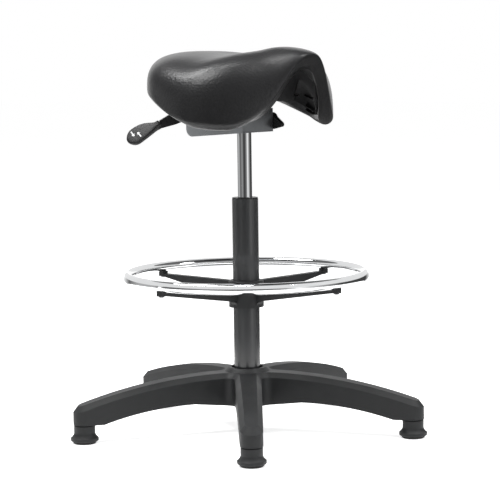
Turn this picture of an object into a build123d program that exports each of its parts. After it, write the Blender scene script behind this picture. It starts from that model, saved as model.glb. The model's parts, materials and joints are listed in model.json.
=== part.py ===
from build123d import *

import os
from math import cos, pi, radians, sin, sqrt, tan

# Saddle stool in millimetres. The origin is on the floor under the column, +Z is up and the
# rider faces -Y, so the rider's right hand is on the -X side.

# Fits
running_gap = 0.05
shell_gap = 0.4
bar_gap = 0.4

# Five-arm base
arm_count = 5
base_turn = 5.9
glide_circle_radius = 320.0
hub_top = 122.0
hub_radius = 36.0
hub_floor = 52.0
hub_mouth_radius = 30.0
hub_mouth_depth = 10.0
arm_root_width = 52.0
arm_tip_width = 41.0
arm_root_radius = 43.0
arm_root_drop = 7.0
arm_tip_rise = 32.0
arm_arch_radius = 115.0
arm_arch_rise = 25.8
arm_heel_length = 53.0
arm_bevel = 9.0
arm_fillet = 16.0
arm_wall = 6.0
arm_cell_start = 62.0
arm_cell_count = 4

# Glides
glide_height = 35.0
glide_collar_radius = 19.7
glide_collar_height = 15.0
glide_flange_radius = 26.0
glide_flange_floor = 4.5
glide_flange_height = 6.0
glide_edge = 1.5
sole_radius = 21.5
sole_plug_radius = 18.0
sole_plug_height = 3.0
stem_radius = 5.0
stem_reach = 24.0
stem_grip = 18.0
stem_washer_radius = 12.0
stem_washer_height = 0.8

# Column tube and its bearing
tube_radius = 25.0
tube_wall = 3.0
tube_top = 442.0
tube_tail = 2.0
tube_floor_plate = 6.0
foot_taper = 1.1
bush_length = 90.0
bush_lip_inset = 0.8
bush_lip_height = 2.0
rod_radius = 5.0
rod_tail = 6.0
washer_hole_gap = 0.5
washer_radius = 14.0
washer_height = 2.5
ball_radius = 2.45
ball_count = 8
ball_circle_radius = 10.0
cage_height = 3.0
cage_inner_radius = 6.5
cage_outer_radius = 13.5
cage_pocket_gap = 0.1
shoulder_radius = 8.0
shoulder_height = 3.0
stop_radius = 12.0
stop_height = 20.0
clip_radius = 9.0
clip_height = 2.0
clip_groove_radius = 4.0
clip_mouth = 6.0

# Gas cylinder, at the top of its stroke
cylinder_radius = 14.0
cylinder_bore_radius = 12.0
cylinder_foot = 212.0
cylinder_top = 612.0
cylinder_head = 32.0
taper_length = 44.0
taper_drop = 0.8
guide_height = 12.0
piston_stop_gap = 6.0
piston_height = 14.0
piston_spigot_radius = 4.0
pin_radius = 2.9
pin_rise = 6.0
pin_depth = 27.0

# Foot ring
ring_turn = -2.3
ring_radius = 223.7
ring_height = 297.0
ring_tube_radius = 10.0
ring_tube_wall = 1.8
spoke_count = 4
spoke_width = 13.0
spoke_end_depth = 5.0
spoke_root_depth = 35.6
spoke_fillet = 10.0
sleeve_radius = 33.0
sleeve_rise = 3.0
sleeve_height = 50.0
sleeve_gap = 0.25
sleeve_edge = 1.5
saddle_width = 13.0
saddle_length = 12.0
saddle_seat = 3.0
saddle_grip = 3.0
ring_screw_radius = 2.5
ring_screw_gap = 0.25
ring_screw_bite = 6.0
ring_screw_head_radius = 4.5
ring_screw_head_height = 2.0
ring_screw_margin = 1.0
knob_drop = 25.0
stud_radius = 4.0
stud_tip_gap = 0.3
boss_reach = 42.0
clamp_boss_radius = 9.0
knob_start = 44.0
knob_radius = 16.0
knob_length = 20.0
knob_flutes = 6
knob_flute_radius = 5.0
knob_edge = 2.0

# Tilt bracket under the seat
bracket_half_width = 44.0
bracket_front = -34.0
bracket_rear = 107.0
bracket_sheet = 3.0
bracket_drop = 45.4
bracket_slope = 3.9
cheek_drop = 8.0
nose_drop = 1.5
nose_length = 40.0
bracket_corner = 15.0
bracket_stop_length = 27.0
bracket_stop_gap = 0.4
socket_radius = 16.5
socket_drop = 6.0

# Tilt pivot and its lock lever
pivot_y = -22.0
pivot_drop = 22.0
pivot_radius = 4.0
pivot_head_radius = 7.0
pivot_head_length = 3.0
lock_side_gap = 1.0
lock_hub_radius = 12.0
lock_hub_length = 14.0
lock_finger_length = 28.0
lock_finger_width = 9.0
lock_finger_droop = 22.0
lock_finger_sheet = 10.0
lock_heel_drop = 15.0
lock_heel_reach = 6.0
lock_clip_length = 2.0
lock_clip_radius = 7.0

# Seat plate
plate_half_width = 68.0
plate_front = -85.0
plate_rear = 95.0
plate_rise = 20.0
plate_sheet = 3.0
plate_corner = 14.0
ear_sheet = 3.0
ear_front_wall = 3.5
ear_drop = 8.0
ear_rear = 12.0
ear_lean = 10.0
ear_root_length = 24.0
bolt_x = 54.0
bolt_front = -65.0
bolt_rear = 55.0
bolt_radius = 4.0
bolt_length = 20.0
bolt_head_radius = 6.5
bolt_head_height = 5.5
bolt_hole_gap = 0.5
insert_radius = 6.0
boss_radius = 14.0

# Height lever: seen from above it leaves towards the rider's right and rear
lever_turn = 141.7
lever_pivot_reach = 36.0
lever_pin_radius = 3.0
lever_tail = 6.0
lever_pin_gap = 0.6
lever_bar_height = 8.0
lever_bar_width = 10.0
lever_knee_reach = 130.0
lever_knee_drop = 16.0
lever_knee_height = 25.0
lever_neck_reach = 160.0
lever_neck_drop = 28.5
lever_neck_height = 15.0
lug_sheet = 3.0
lug_length = 14.0
paddle_length = 66.0
paddle_neck_width = 18.0
paddle_width = 33.0
paddle_thickness = 10.0
paddle_socket = 16.0
paddle_droop = 28.0
paddle_twist = 48.0
paddle_edge = 3.0

# Saddle seat: plan outline, heights from the dip of its crest, and how the skin rolls to the rim
seat_centre = 22.9
seat_half_width = 197.0
seat_rear_length = 186.4
seat_front_length = 149.8
rear_squareness = 2.2
front_squareness = 1.47
dip_rise = 78.3
cantle_rise = 10.4
pommel_rise = 16.7
rim_front_drop = 15.3
rim_flap_drop = 137.3
rim_rear_drop = 8.8
rim_front_sweep = 1.6
rim_rear_sweep = 2.1
flap_place = 0.62
cantle_place = -113.2
dip_place = 6.5
pommel_place = 111.8
side_flatness = 3.05
rear_flatness = 3.87
front_flatness = 2.5
side_roundness = 2.9
rear_roundness = 2.88
front_roundness = 1.55
skin_lip = 28.0
skin_crown = 38.0
front_lip_slope = 0.43
shell_sheet = 5.0
shell_recess = 12.0
skin_end_angle = 80.0
cavity_rear_angle = 40.0
cavity_front_angle = 62.0
shell_rear = 84.0
shell_front = 138.0
end_steps = 5
half_points = 7
cut_depth = 60.0


def save(part, name):
    part.label = name
    export_step(part, f"parts/{name}.step")


def smooth(t):
    t = min(max(t, 0.0), 1.0)
    return t * t * (3 - 2 * t)


os.makedirs("parts", exist_ok=True)

arm_turns = [base_turn + 360 / arm_count * index for index in range(arm_count)]
spoke_turns = [ring_turn + 360 / spoke_count * index for index in range(spoke_count)]
taper_top = hub_top - hub_mouth_depth
tube_floor = hub_floor - tube_tail
taper_foot_radius = tube_radius - foot_taper
pivot_z = cylinder_top - pivot_drop
plate_floor = cylinder_top + plate_rise


# Five-arm base: a star in plan, arched in profile, hollow underneath with cross ribs
arm_root_top = hub_top - arm_root_drop
arm_tip_top = glide_height + arm_tip_rise
arm_arch_floor = glide_height + arm_arch_rise
arm_reach = glide_circle_radius + arm_tip_width / 2
arm_run = arm_reach - arm_root_radius
arm_fall = arm_root_top - arm_tip_top
arm_bow = (arm_run**2 + arm_fall**2) / (2 * arm_fall)
heel_start = arm_reach - arm_heel_length
arch_run = heel_start - arm_arch_radius
arch_fall = arm_arch_floor - glide_height
arch_bow = (arch_run**2 + arch_fall**2) / (2 * arch_fall)


def arm_top(reach):
    return arm_root_top - arm_bow + sqrt(arm_bow**2 - (reach - arm_root_radius) ** 2)


def arm_floor(reach):
    return arm_arch_floor - arch_bow + sqrt(arch_bow**2 - (reach - arm_arch_radius) ** 2)


def arm_width(reach):
    return arm_root_width + (arm_tip_width - arm_root_width) * reach / glide_circle_radius


middle = (arm_root_radius + arm_reach) / 2
arch_middle = (arm_arch_radius + heel_start) / 2
cell_pitch = (heel_start - arm_cell_start) / arm_cell_count

with BuildPart() as star_base:
    with BuildSketch() as star_plan:
        with PolarLocations(0, arm_count, base_turn):
            Polygon(
                (0, -arm_root_width / 2),
                (glide_circle_radius, -arm_tip_width / 2),
                (glide_circle_radius, arm_tip_width / 2),
                (0, arm_root_width / 2),
                align=None,
            )
        with PolarLocations(glide_circle_radius, arm_count, base_turn):
            Circle(arm_tip_width / 2)
        fillet(star_plan.vertices().sort_by_distance((0, 0))[0:arm_count], arm_fillet)
    extrude(amount=hub_top)
    with BuildSketch(Plane.XZ.rotated((0, 0, base_turn + 180 / arm_count))):
        with BuildLine():
            Polyline((0, hub_floor), (0, hub_top), (hub_radius, hub_top), (arm_root_radius, arm_root_top))
            ThreePointArc(
                (arm_root_radius, arm_root_top), (middle, arm_top(middle)), (arm_reach, arm_tip_top)
            )
            Polyline((arm_reach, arm_tip_top), (arm_reach, glide_height), (heel_start, glide_height))
            ThreePointArc(
                (heel_start, glide_height),
                (arch_middle, arm_floor(arch_middle)),
                (arm_arch_radius, arm_arch_floor),
            )
            Polyline((arm_arch_radius, arm_arch_floor), (hub_radius, hub_floor), (0, hub_floor))
        make_face()
    revolve(axis=Axis.Z, mode=Mode.INTERSECT)
    arm_top_face = star_base.faces().filter_by(GeomType.REVOLUTION).sort_by(Axis.Z)[-1]
    chamfer(arm_top_face.edges().filter_by(GeomType.BSPLINE), arm_bevel)
    for cell in range(arm_cell_count):
        cell_inner = arm_cell_start + cell * cell_pitch
        cell_outer = cell_inner + cell_pitch - arm_wall / 2
        with BuildSketch():
            with PolarLocations((cell_inner + cell_outer) / 2, arm_count, base_turn):
                Rectangle(cell_outer - cell_inner, arm_width(cell_outer) - 2 * arm_wall)
        extrude(amount=arm_top(cell_outer) - arm_wall, mode=Mode.SUBTRACT)
    with BuildSketch(Plane.XZ):
        with BuildLine():
            Polyline(
                (0, tube_floor),
                (taper_foot_radius + running_gap, tube_floor),
                (tube_radius + running_gap, taper_top),
                (hub_mouth_radius, taper_top),
                (hub_mouth_radius, hub_top),
                (0, hub_top),
                close=True,
            )
        make_face()
    revolve(axis=Axis.Z, mode=Mode.SUBTRACT)
    with BuildSketch(Plane.XY.offset(glide_height)):
        with PolarLocations(glide_circle_radius, arm_count, base_turn):
            Circle(stem_radius)
    extrude(amount=stem_reach, mode=Mode.SUBTRACT)
save(star_base.part, "star_base")


# Glides: flared body, rubber sole and steel stem under each arm tip
collar_top = glide_height - stem_washer_height
collar_floor = collar_top - glide_collar_height
flange_top = glide_flange_floor + glide_flange_height
stem_floor = collar_top - stem_grip
plug_top = glide_flange_floor + sole_plug_height
flare_point = (
    glide_collar_radius + 0.3 * (glide_flange_radius - glide_collar_radius),
    (collar_floor + flange_top) / 2,
)

for number, turn in enumerate(arm_turns, start=1):
    foot_x = glide_circle_radius * cos(radians(turn))
    foot_y = glide_circle_radius * sin(radians(turn))
    foot_plane = Plane(origin=(foot_x, foot_y, 0), x_dir=(1, 0, 0), z_dir=(0, -1, 0))
    foot_axis = Axis((foot_x, foot_y, 0), (0, 0, 1))

    with BuildPart() as glide:
        with BuildSketch(foot_plane):
            with BuildLine():
                Polyline(
                    (0, plug_top), (0, stem_floor), (stem_radius, stem_floor), (stem_radius, collar_top),
                    (glide_collar_radius - glide_edge, collar_top),
                    (glide_collar_radius, collar_top - glide_edge),
                    (glide_collar_radius, collar_floor),
                )
                ThreePointArc(
                    (glide_collar_radius, collar_floor), flare_point, (glide_flange_radius, flange_top)
                )
                Polyline(
                    (glide_flange_radius, flange_top),
                    (glide_flange_radius, glide_flange_floor + glide_edge),
                    (glide_flange_radius - glide_edge, glide_flange_floor),
                    (sole_plug_radius, glide_flange_floor),
                    (sole_plug_radius, plug_top),
                    (0, plug_top),
                )
            make_face()
        revolve(axis=foot_axis)
    save(glide.part, f"glide_{number}")

    with BuildPart() as sole:
        with BuildSketch(foot_plane):
            with BuildLine():
                Polyline(
                    (0, 0), (sole_radius - glide_edge, 0), (sole_radius, glide_edge),
                    (sole_radius, glide_flange_floor), (sole_plug_radius, glide_flange_floor),
                    (sole_plug_radius, plug_top), (0, plug_top),
                    close=True,
                )
            make_face()
        revolve(axis=foot_axis)
    save(sole.part, f"glide_sole_{number}")

    with BuildPart() as stem:
        with BuildSketch(foot_plane):
            with BuildLine():
                Polyline(
                    (0, stem_floor), (stem_radius, stem_floor), (stem_radius, collar_top),
                    (stem_washer_radius, collar_top), (stem_washer_radius, glide_height),
                    (stem_radius, glide_height), (stem_radius, glide_height + stem_reach),
                    (0, glide_height + stem_reach),
                    close=True,
                )
            make_face()
        revolve(axis=foot_axis)
    save(stem.part, f"glide_stem_{number}")


# Column tube: tapered foot in the hub, floor plate for the bearing
tube_bore = tube_radius - tube_wall
floor_top = tube_floor + tube_floor_plate

with BuildPart() as column_tube:
    with BuildSketch(Plane.XZ):
        with BuildLine():
            Polyline(
                (rod_radius + running_gap, tube_floor), (taper_foot_radius, tube_floor),
                (tube_radius, taper_top), (tube_radius, tube_top), (tube_bore, tube_top),
                (tube_bore, floor_top), (rod_radius + running_gap, floor_top),
                close=True,
            )
        make_face()
    revolve(axis=Axis.Z)
save(column_tube.part, "column_tube")

bush_bore = cylinder_radius + running_gap
bush_lip_radius = tube_radius - bush_lip_inset
with BuildPart() as column_bush:
    with BuildSketch(Plane.XZ):
        with BuildLine():
            Polyline(
                (bush_bore, tube_top - bush_length), (tube_bore, tube_top - bush_length),
                (tube_bore, tube_top), (bush_lip_radius, tube_top),
                (bush_lip_radius, tube_top + bush_lip_height), (bush_bore, tube_top + bush_lip_height),
                close=True,
            )
        make_face()
    revolve(axis=Axis.Z)
save(column_bush.part, "column_bush")


# Thrust bearing on the tube's floor: washer, caged balls, washer
ball_space = 2 * (ball_radius + running_gap)
lower_washer_top = floor_top + washer_height
upper_washer_floor = lower_washer_top + ball_space
ball_z = lower_washer_top + ball_space / 2
shoulder_floor = upper_washer_floor + washer_height
washer_bore = rod_radius + washer_hole_gap

for name, floor in (("bearing_washer_lower", floor_top), ("bearing_washer_upper", upper_washer_floor)):
    with BuildPart() as washer:
        with BuildSketch(Plane.XY.offset(floor)):
            Circle(washer_radius)
            Circle(washer_bore, mode=Mode.SUBTRACT)
        extrude(amount=washer_height)
    save(washer.part, name)

with BuildPart() as ball_cage:
    with BuildSketch(Plane.XY.offset(ball_z - cage_height / 2)):
        Circle(cage_outer_radius)
        Circle(cage_inner_radius, mode=Mode.SUBTRACT)
        with PolarLocations(ball_circle_radius, ball_count):
            Circle(ball_radius + cage_pocket_gap, mode=Mode.SUBTRACT)
    extrude(amount=cage_height)
save(ball_cage.part, "ball_cage")

with BuildPart(Plane.XY.offset(ball_z)) as bearing_balls:
    with PolarLocations(ball_circle_radius, ball_count):
        Sphere(ball_radius)
save(bearing_balls.part, "bearing_balls")


# Piston rod with its shoulder, clip, bump stop and piston
shoulder_top = shoulder_floor + shoulder_height
clip_top = tube_floor - running_gap
clip_floor = clip_top - clip_height
guide_top = cylinder_foot + guide_height
piston_floor = guide_top + piston_stop_gap
piston_top = piston_floor + piston_height

with BuildPart() as piston_rod:
    with BuildSketch(Plane.XZ):
        with BuildLine():
            Polyline(
                (0, tube_floor - rod_tail), (rod_radius, tube_floor - rod_tail),
                (rod_radius, clip_floor), (clip_groove_radius, clip_floor),
                (clip_groove_radius, clip_top), (rod_radius, clip_top),
                (rod_radius, shoulder_floor), (shoulder_radius, shoulder_floor),
                (shoulder_radius, shoulder_top), (rod_radius, shoulder_top),
                (rod_radius, piston_floor), (piston_spigot_radius, piston_floor),
                (piston_spigot_radius, piston_top), (0, piston_top),
                close=True,
            )
        make_face()
    revolve(axis=Axis.Z)
save(piston_rod.part, "piston_rod")

with BuildPart() as rod_clip:
    with BuildSketch(Plane.XY.offset(clip_floor)):
        Circle(clip_radius)
        Circle(clip_groove_radius, mode=Mode.SUBTRACT)
        with Locations((clip_radius, 0)):
            Rectangle(2 * clip_radius, clip_mouth, mode=Mode.SUBTRACT)
    extrude(amount=clip_height)
save(rod_clip.part, "rod_clip")

with BuildPart() as bump_stop:
    with BuildSketch(Plane.XY.offset(shoulder_top)):
        Circle(stop_radius)
        Circle(rod_radius, mode=Mode.SUBTRACT)
    extrude(amount=stop_height)
save(bump_stop.part, "bump_stop")

with BuildPart() as piston:
    with BuildSketch(Plane.XY.offset(piston_floor)):
        Circle(cylinder_bore_radius - running_gap)
        Circle(piston_spigot_radius, mode=Mode.SUBTRACT)
    extrude(amount=piston_height)
save(piston.part, "piston")


# Gas cylinder with its tapered head, rod guide and release pin
taper_start = cylinder_top - taper_length
pin_hole = pin_radius + running_gap
chamber_top = cylinder_top - cylinder_head
pin_top = cylinder_top + pin_rise


def taper_radius(z):
    return cylinder_radius - taper_drop * (z - taper_start) / taper_length


with BuildPart() as gas_cylinder:
    with BuildSketch(Plane.XZ):
        with BuildLine():
            Polyline(
                (cylinder_bore_radius, cylinder_foot), (cylinder_radius, cylinder_foot),
                (cylinder_radius, taper_start), (taper_radius(cylinder_top), cylinder_top),
                (pin_hole, cylinder_top), (pin_hole, chamber_top), (cylinder_bore_radius, chamber_top),
                close=True,
            )
        make_face()
    revolve(axis=Axis.Z)
save(gas_cylinder.part, "gas_cylinder")

with BuildPart() as rod_guide:
    with BuildSketch(Plane.XY.offset(cylinder_foot)):
        Circle(cylinder_bore_radius)
        Circle(rod_radius + running_gap, mode=Mode.SUBTRACT)
    extrude(amount=guide_height)
save(rod_guide.part, "rod_guide")

with BuildPart() as release_pin:
    with BuildSketch(Plane.XY.offset(cylinder_top - pin_depth)):
        Circle(pin_radius)
    extrude(amount=pin_depth + pin_rise)
save(release_pin.part, "release_pin")


# Foot ring: chrome tube on four spokes, clamped to the column by a knob
spoke_top = ring_height - ring_tube_radius - saddle_seat
spoke_end = ring_radius + saddle_length / 2
spoke_flat = ring_radius - ring_screw_head_radius - ring_screw_margin
spoke_end_floor = spoke_top - spoke_end_depth
sleeve_bore = tube_radius + sleeve_gap
spoke_root = (sleeve_bore + sleeve_radius) / 2
spoke_root_floor = spoke_top - spoke_root_depth
sleeve_top = spoke_top + sleeve_rise
sleeve_floor = sleeve_top - sleeve_height
sleeve_wall = sqrt(sleeve_radius**2 - (spoke_width / 2) ** 2)
knob_height = sleeve_top - knob_drop
saddle_top = ring_height - ring_tube_radius + saddle_grip
knob_turn = ring_turn + 180 / spoke_count

with BuildPart() as ring_tube:
    with BuildSketch(Plane.XZ):
        with Locations((ring_radius, ring_height)):
            Circle(ring_tube_radius)
            Circle(ring_tube_radius - ring_tube_wall, mode=Mode.SUBTRACT)
    revolve(axis=Axis.Z)
    with BuildSketch(Plane.XY.offset(spoke_top)):
        with PolarLocations(ring_radius, spoke_count, ring_turn):
            Circle(ring_screw_radius)
    extrude(amount=ring_height - spoke_top, mode=Mode.SUBTRACT)
save(ring_tube.part, "ring_tube")

knob_out = Vector(cos(radians(knob_turn)), sin(radians(knob_turn)), 0)
knob_plane = Plane(origin=(0, 0, knob_height), x_dir=(0, 0, 1), z_dir=knob_out)

with BuildPart() as ring_spider:
    with BuildSketch(Plane.XY.offset(sleeve_floor)):
        Circle(sleeve_radius)
    extrude(amount=sleeve_height)
    chamfer(ring_spider.faces().sort_by(Axis.Z)[-1].edges(), sleeve_edge)
    for turn in spoke_turns:
        spoke_plane = Plane(
            origin=(0, 0, 0),
            x_dir=(cos(radians(turn)), sin(radians(turn)), 0),
            z_dir=(sin(radians(turn)), -cos(radians(turn)), 0),
        )
        with BuildSketch(spoke_plane) as spoke_side:
            Polygon(
                (spoke_root, spoke_top),
                (spoke_end, spoke_top),
                (spoke_end, spoke_end_floor),
                (spoke_flat, spoke_end_floor),
                (sleeve_wall, spoke_root_floor),
                (sleeve_wall, sleeve_floor),
                (spoke_root, sleeve_floor),
                align=None,
            )
            fillet(spoke_side.vertices().sort_by_distance((sleeve_wall, spoke_root_floor))[0], spoke_fillet)
        extrude(amount=spoke_width / 2, both=True)
    with BuildSketch(knob_plane.offset(spoke_root)):
        Circle(clamp_boss_radius)
    extrude(amount=boss_reach - spoke_root)
    with BuildSketch(Plane.XY.offset(sleeve_floor)):
        Circle(sleeve_bore)
        with PolarLocations(ring_radius, spoke_count, ring_turn):
            Circle(ring_screw_radius + ring_screw_gap)
    extrude(amount=sleeve_height, mode=Mode.SUBTRACT)
    with BuildSketch(knob_plane):
        Circle(stud_radius + running_gap)
    extrude(amount=boss_reach, mode=Mode.SUBTRACT)
save(ring_spider.part, "ring_spider")

for number, turn in enumerate(spoke_turns, start=1):
    with BuildPart() as ring_saddle:
        with BuildSketch(Plane.XY.offset(spoke_top)):
            with PolarLocations(ring_radius, 1, turn):
                Rectangle(saddle_length, saddle_width)
                Circle(ring_screw_radius + ring_screw_gap, mode=Mode.SUBTRACT)
        extrude(amount=saddle_top - spoke_top)
        with BuildSketch(Plane.XZ):
            with Locations((ring_radius, ring_height)):
                Circle(ring_tube_radius + running_gap)
        revolve(axis=Axis.Z, mode=Mode.SUBTRACT)
    save(ring_saddle.part, f"ring_saddle_{number}")

with BuildPart() as ring_screws:
    with BuildSketch(Plane.XY.offset(spoke_end_floor - ring_screw_head_height)):
        with PolarLocations(ring_radius, spoke_count, ring_turn):
            Circle(ring_screw_head_radius)
    extrude(amount=ring_screw_head_height)
    with BuildSketch(Plane.XY.offset(spoke_end_floor)):
        with PolarLocations(ring_radius, spoke_count, ring_turn):
            Circle(ring_screw_radius)
    extrude(amount=ring_height - ring_tube_radius + ring_screw_bite - spoke_end_floor)
save(ring_screws.part, "ring_screws")

stud_start = tube_radius + stud_tip_gap
with BuildPart() as clamp_stud:
    with BuildSketch(knob_plane.offset(stud_start)):
        Circle(stud_radius)
    extrude(amount=knob_start + knob_length / 2 - stud_start)
save(clamp_stud.part, "clamp_stud")

with BuildPart() as clamp_knob:
    with BuildSketch(knob_plane.offset(knob_start)):
        Circle(knob_radius)
        with PolarLocations(knob_radius + knob_flute_radius / 2, knob_flutes):
            Circle(knob_flute_radius, mode=Mode.SUBTRACT)
    extrude(amount=knob_length)
    knob_end = clamp_knob.faces().filter_by(GeomType.PLANE).sort_by(Axis((0, 0, 0), knob_out))[-1]
    chamfer(knob_end.edges(), knob_edge)
    with BuildSketch(knob_plane.offset(knob_start)):
        Circle(stud_radius)
    extrude(amount=knob_length / 2, mode=Mode.SUBTRACT)
save(clamp_knob.part, "clamp_knob")


# Tilt bracket: a pressed trough, lower at the rear, with lugs for the height lever
bracket_front_floor = cylinder_top - bracket_drop
bracket_cheek_top = cylinder_top - cheek_drop
bracket_nose_top = cylinder_top - nose_drop
socket_top = cylinder_top - socket_drop
slope = tan(radians(bracket_slope))
sheet_rise = bracket_sheet / cos(radians(bracket_slope))
lever_out = Vector(cos(radians(lever_turn)), sin(radians(lever_turn)), 0)
lever_side = Vector(-sin(radians(lever_turn)), cos(radians(lever_turn)), 0)
lever_bar_floor = pin_top + lever_pin_gap
lever_pivot_z = lever_bar_floor + lever_bar_height / 2
lug_floor = lever_bar_width / 2 + bar_gap
stop_top = plate_floor - bracket_stop_gap


def bracket_floor(y):
    return bracket_front_floor - (y - bracket_front) * slope


lever_plane = Plane(origin=(0, 0, 0), x_dir=lever_out, z_dir=-lever_side)
lug_y = (lever_out * lever_pivot_reach).Y
lug_height = plate_floor - bracket_sheet - bracket_floor(lug_y)

with BuildPart() as tilt_bracket:
    with BuildSketch(Plane.YZ) as bracket_side:
        Polygon(
            (bracket_front, bracket_floor(bracket_front)),
            (bracket_front, bracket_nose_top),
            (bracket_front + nose_length, bracket_cheek_top),
            (bracket_rear - bracket_stop_length, bracket_cheek_top),
            (bracket_rear - bracket_stop_length, stop_top),
            (bracket_rear, stop_top),
            (bracket_rear, bracket_floor(bracket_rear)),
            align=None,
        )
        rear_corner = bracket_side.vertices().sort_by_distance((bracket_rear, bracket_floor(bracket_rear)))[0]
        fillet(rear_corner, bracket_corner)
    extrude(amount=bracket_half_width, both=True)
    with BuildSketch(Plane.YZ):
        Polygon(
            (bracket_front + bracket_sheet, bracket_floor(bracket_front + bracket_sheet) + sheet_rise),
            (bracket_front + bracket_sheet, plate_floor),
            (bracket_rear, plate_floor),
            (bracket_rear, bracket_floor(bracket_rear) + sheet_rise),
            align=None,
        )
    extrude(amount=bracket_half_width - bracket_sheet, both=True, mode=Mode.SUBTRACT)
    for side in (1, -1):
        with BuildSketch(lever_plane.offset(side * (lug_floor + lug_sheet / 2))):
            with Locations((lever_pivot_reach, bracket_floor(lug_y) + lug_height / 2 + bracket_sheet / 2)):
                Rectangle(lug_length, lug_height - bracket_sheet)
        extrude(amount=lug_sheet / 2, both=True)
    with BuildSketch(lever_plane):
        with Locations((lever_pivot_reach, lever_pivot_z)):
            Circle(lever_pin_radius)
    extrude(amount=lug_floor + lug_sheet, both=True, mode=Mode.SUBTRACT)
    with BuildSketch(Plane.YZ):
        with Locations((pivot_y, pivot_z)):
            Circle(pivot_radius)
    extrude(amount=bracket_half_width, both=True, mode=Mode.SUBTRACT)
    with BuildSketch(Plane.XY.offset(bracket_floor(bracket_rear))):
        Circle(cylinder_radius + running_gap)
    extrude(amount=plate_floor - bracket_floor(bracket_rear), mode=Mode.SUBTRACT)
save(tilt_bracket.part, "tilt_bracket")

trough_floor = Plane(
    origin=(0, 0, bracket_floor(0) + sheet_rise),
    x_dir=(1, 0, 0),
    z_dir=(0, sin(radians(bracket_slope)), cos(radians(bracket_slope))),
)
with BuildPart() as taper_socket:
    with BuildSketch(Plane.XZ):
        with BuildLine():
            Polyline(
                (cylinder_radius + running_gap, bracket_floor(bracket_rear)),
                (socket_radius, bracket_floor(bracket_rear)),
                (socket_radius, socket_top),
                (taper_radius(socket_top) + running_gap, socket_top),
                (cylinder_radius + running_gap, taper_start),
                close=True,
            )
        make_face()
    revolve(axis=Axis.Z)
    split(bisect_by=trough_floor, keep=Keep.TOP)
save(taper_socket.part, "taper_socket")


# Tilt pivot pin, its clip and the lock lever on the rider's left
pivot = (pivot_y, pivot_z)
lock_start = bracket_half_width + lock_side_gap
lock_end = lock_start + lock_hub_length
clip_start = lock_end + running_gap
pin_end = clip_start + lock_clip_length
finger_tip = (
    pivot_y - lock_finger_length * cos(radians(lock_finger_droop)),
    pivot_z - lock_finger_length * sin(radians(lock_finger_droop)),
)
lock_heel = (pivot_y - lock_heel_reach, pivot_z - lock_heel_drop)

with BuildPart() as pivot_pin:
    with BuildSketch(Plane.YZ.offset(-bracket_half_width - pivot_head_length)):
        with Locations(pivot):
            Circle(pivot_head_radius)
    extrude(amount=pivot_head_length)
    with BuildSketch(Plane.YZ.offset(-bracket_half_width)):
        with Locations(pivot):
            Circle(pivot_radius)
    extrude(amount=bracket_half_width + pin_end)
save(pivot_pin.part, "pivot_pin")

with BuildPart() as pivot_clip:
    with BuildSketch(Plane.YZ.offset(clip_start)):
        with Locations(pivot):
            Circle(lock_clip_radius)
            Circle(pivot_radius, mode=Mode.SUBTRACT)
    extrude(amount=lock_clip_length)
save(pivot_clip.part, "pivot_clip")

with BuildPart() as tilt_lock_lever:
    with BuildSketch(Plane.YZ.offset(lock_start)):
        with Locations(pivot):
            Circle(lock_hub_radius)
        with Locations(finger_tip, lock_heel):
            Circle(lock_finger_width / 2)
        make_hull()
    extrude(amount=lock_finger_sheet)
    with BuildSketch(Plane.YZ.offset(lock_start)):
        with Locations(pivot):
            Circle(lock_hub_radius)
    extrude(amount=lock_hub_length)
    with BuildSketch(Plane.YZ.offset(lock_start)):
        with Locations(pivot):
            Circle(pivot_radius + running_gap)
    extrude(amount=lock_hub_length, mode=Mode.SUBTRACT)
save(tilt_lock_lever.part, "tilt_lock_lever")


# Seat plate with two ears on the pivot pin, and its bolts
bolt_places = [(x, y) for x in (-bolt_x, bolt_x) for y in (bolt_front, bolt_rear)]
plate_top = plate_floor + plate_sheet
ear_face = bracket_half_width - bracket_sheet - bar_gap - ear_sheet
ear_front = pivot_y - pivot_radius - ear_front_wall

with BuildPart() as seat_plate:
    with BuildSketch(Plane.XY.offset(plate_floor)):
        with Locations((0, (plate_front + plate_rear) / 2)):
            RectangleRounded(2 * plate_half_width, plate_rear - plate_front, plate_corner)
        with Locations(*bolt_places):
            Circle(bolt_radius + bolt_hole_gap, mode=Mode.SUBTRACT)
    extrude(amount=plate_sheet)
    for ear_start in (ear_face, -ear_face - ear_sheet):
        with BuildSketch(Plane.YZ.offset(ear_start)):
            Polygon(
                (ear_front, pivot_z - ear_drop),
                (ear_front, pivot_z + ear_front_wall),
                (ear_front + ear_lean, plate_floor),
                (ear_front + ear_lean + ear_root_length, plate_floor),
                (pivot_y + ear_rear, pivot_z - ear_drop),
                align=None,
            )
            with Locations(pivot):
                Circle(pivot_radius + running_gap, mode=Mode.SUBTRACT)
        extrude(amount=ear_sheet)
save(seat_plate.part, "seat_plate")

with BuildPart() as seat_bolts:
    with BuildSketch(Plane.XY.offset(plate_floor - bolt_head_height)):
        with Locations(*bolt_places):
            RegularPolygon(bolt_head_radius, 6)
    extrude(amount=bolt_head_height)
    with BuildSketch(Plane.XY.offset(plate_floor)):
        with Locations(*bolt_places):
            Circle(bolt_radius)
    extrude(amount=plate_sheet + bolt_length)
save(seat_bolts.part, "seat_bolts")

with BuildPart() as seat_inserts:
    with BuildSketch(Plane.XY.offset(plate_top)):
        with Locations(*bolt_places):
            Circle(insert_radius)
            Circle(bolt_radius, mode=Mode.SUBTRACT)
    extrude(amount=bolt_length)
save(seat_inserts.part, "seat_inserts")


# Height lever: flat bar over the release pin, pivot pin, twisted paddle handle
bar_top = lever_pivot_z + lever_bar_height / 2
lever_knee_z = cylinder_top - lever_knee_drop
lever_neck_z = cylinder_top - lever_neck_drop

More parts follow.
